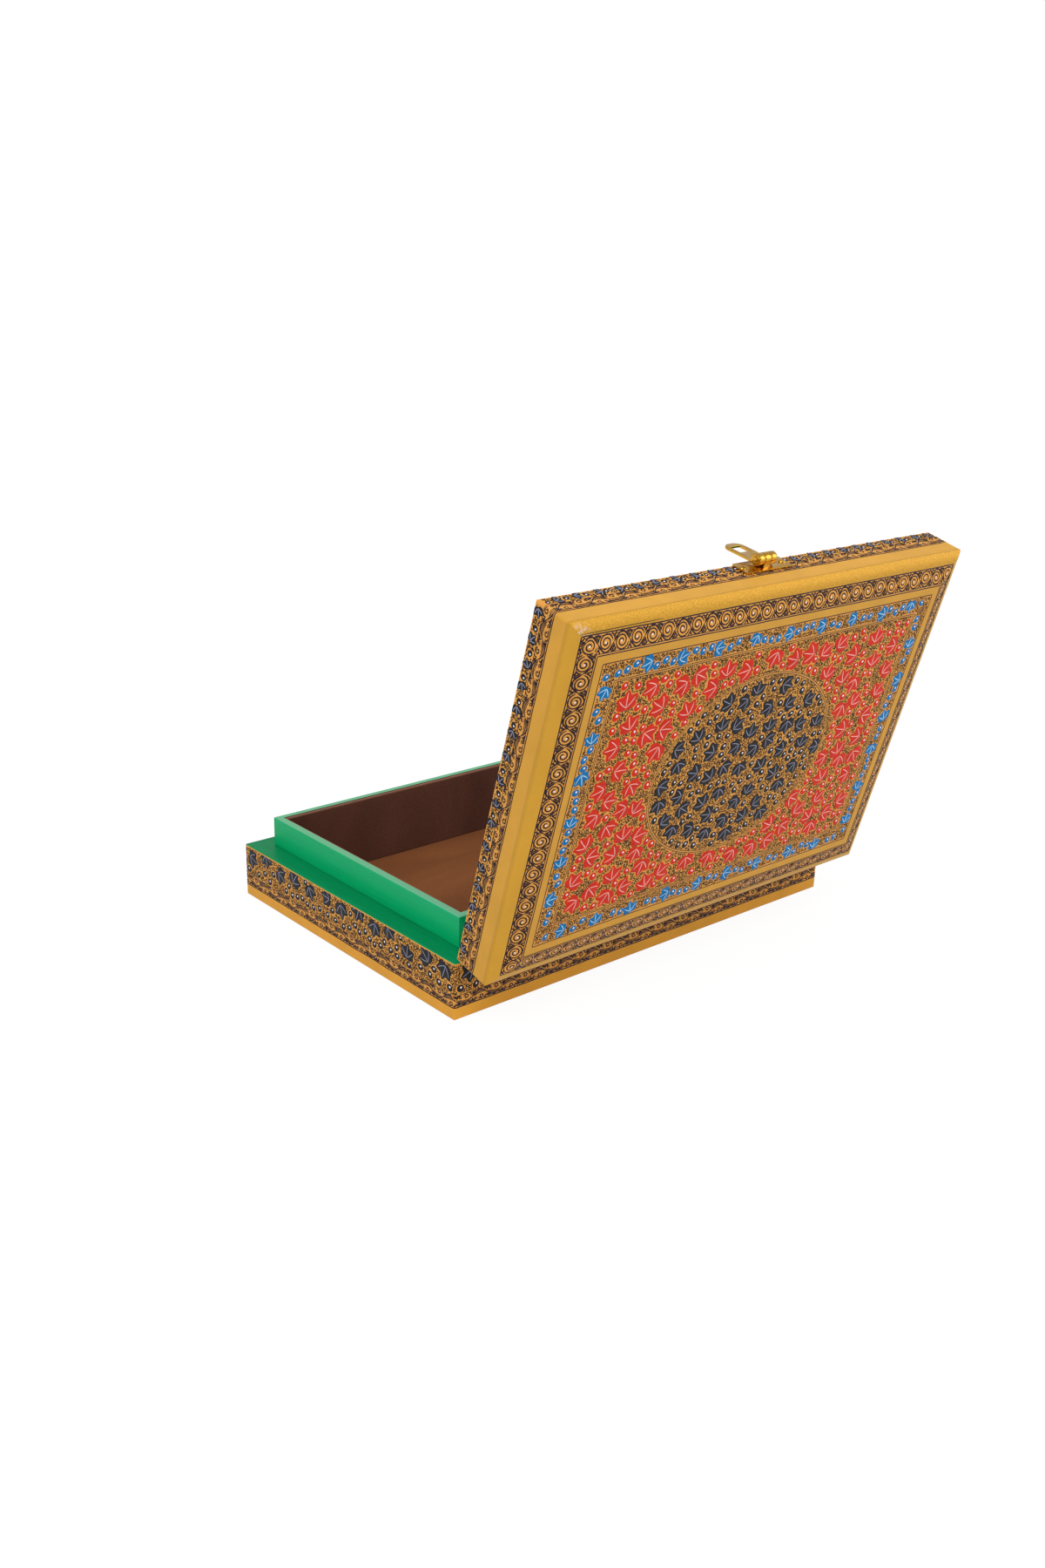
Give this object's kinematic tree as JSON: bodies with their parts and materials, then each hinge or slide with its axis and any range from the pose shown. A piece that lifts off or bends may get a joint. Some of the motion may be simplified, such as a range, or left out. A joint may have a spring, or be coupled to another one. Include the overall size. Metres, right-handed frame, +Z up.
{
  "type": "lidded box",
  "caption": "Rectangular painted box with a raised lip, velvet lining and a shallow hinged lid that stands open past upright, closed by a hasp over a staple.",
  "frame": {"origin": "middle of the underside", "axes": "+X along the long sides, +Y towards the hinges, +Z up"},
  "size_m": [0.23, 0.2322, 0.192],
  "materials": {
    "painted_wood": "hand painted in ochre, black, blue and red under gloss varnish",
    "green_enamel": "brushed green enamel under gloss varnish",
    "velvet": "short brown pile",
    "brass": "bright stamped sheet"
  },
  "bodies": {
    "base": {"base_front_wall": "painted_wood", "base_back_wall": "painted_wood", "base_left_wall": "painted_wood", "base_right_wall": "painted_wood", "base_panel": "painted_wood", "lip_front": "green_enamel", "lip_back": "green_enamel", "lip_left": "green_enamel", "lip_right": "green_enamel", "lining_front": "velvet", "lining_back": "velvet", "lining_left": "velvet", "lining_right": "velvet", "floor_pad": "velvet", "left_hinge_base_leaf": "brass", "right_hinge_base_leaf": "brass", "left_hinge_pin": "brass", "right_hinge_pin": "brass", "base_hinge_screws": "brass", "catch_staple": "brass"},
    "lid": {"lid_front_wall": "painted_wood", "lid_back_wall": "painted_wood", "lid_left_wall": "painted_wood", "lid_right_wall": "painted_wood", "lid_panel": "painted_wood", "lid_pad": "velvet", "left_hinge_lid_leaf": "brass", "right_hinge_lid_leaf": "brass", "lid_hinge_screws": "brass", "latch_plate": "brass", "latch_pin": "brass", "latch_screws": "brass"},
    "hasp": {"latch_hasp": "brass"}
  },
  "joints": [
    {"name": "lid_hinge", "type": "hinge", "parent": "base", "child": "lid", "pos_m": [0, 0.0833, 0.0273], "axis": [-1, 0, 0], "range_deg": [-105.2, 0]},
    {"name": "hasp_hinge", "type": "hinge", "parent": "lid", "child": "hasp", "pos_m": [0, 0.13102, 0.1892], "axis": [-1, 0, 0], "range_deg": [0, 180]}
  ]
}
